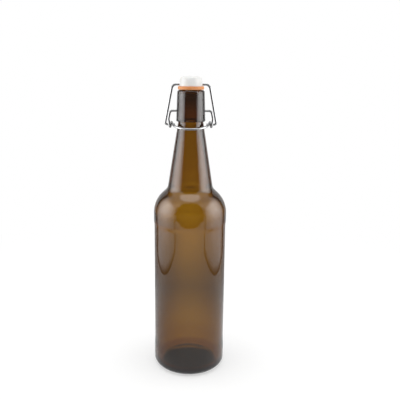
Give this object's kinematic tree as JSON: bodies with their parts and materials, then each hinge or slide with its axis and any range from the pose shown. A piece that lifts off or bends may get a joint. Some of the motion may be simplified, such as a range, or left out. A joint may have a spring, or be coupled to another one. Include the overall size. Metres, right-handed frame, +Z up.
{
  "type": "swing top bottle",
  "caption": "Amber glass swing top bottle with a long tapered neck, closed by a white stopper and orange gasket on a sprung wire bail that a thumb lever lifts off the mouth.",
  "frame": {"origin": "on the bottle's axis, in the plane that it stands on", "axes": "+Z up along the bottle's axis; the lever's thumb bow faces -Y; the closure's pivots lie along X"},
  "size_m": [0.068, 0.068, 0.2782],
  "materials": {
    "amber_glass": "smooth blown glass",
    "white_plastic": "moulded, satin gloss",
    "orange_rubber": "moulded, matte",
    "bail_steel": "bright drawn wire",
    "lever_steel": "bright drawn wire"
  },
  "bodies": {
    "bottle": {"glass_bottle": "amber_glass"},
    "lever": {"lever_wire": "lever_steel"},
    "bail": {"stopper_bail": "bail_steel"},
    "stopper": {"stopper_head": "white_plastic", "rubber_gasket": "orange_rubber"}
  },
  "joints": [
    {"name": "lever_swing", "type": "hinge", "parent": "bottle", "child": "lever", "pos_m": [0, 0, 0.2468], "axis": [-1, 0, 0], "range_deg": [0, 180]},
    {"name": "bail_swing", "type": "hinge", "parent": "lever", "child": "bail", "pos_m": [0, 0.0022, 0.2342], "axis": [-1, 0, 0], "range_deg": [-117.5, 0]},
    {"name": "stopper_tilt", "type": "hinge", "parent": "bail", "child": "stopper", "pos_m": [0, 0, 0.2704], "axis": [-1, 0, 0], "range_deg": [-63, 0]}
  ],
  "couplings": [
    {"joint": "bail_swing", "follows": "lever_swing", "ratio": -0.65193},
    {"joint": "stopper_tilt", "follows": "lever_swing", "ratio": -0.34807}
  ]
}
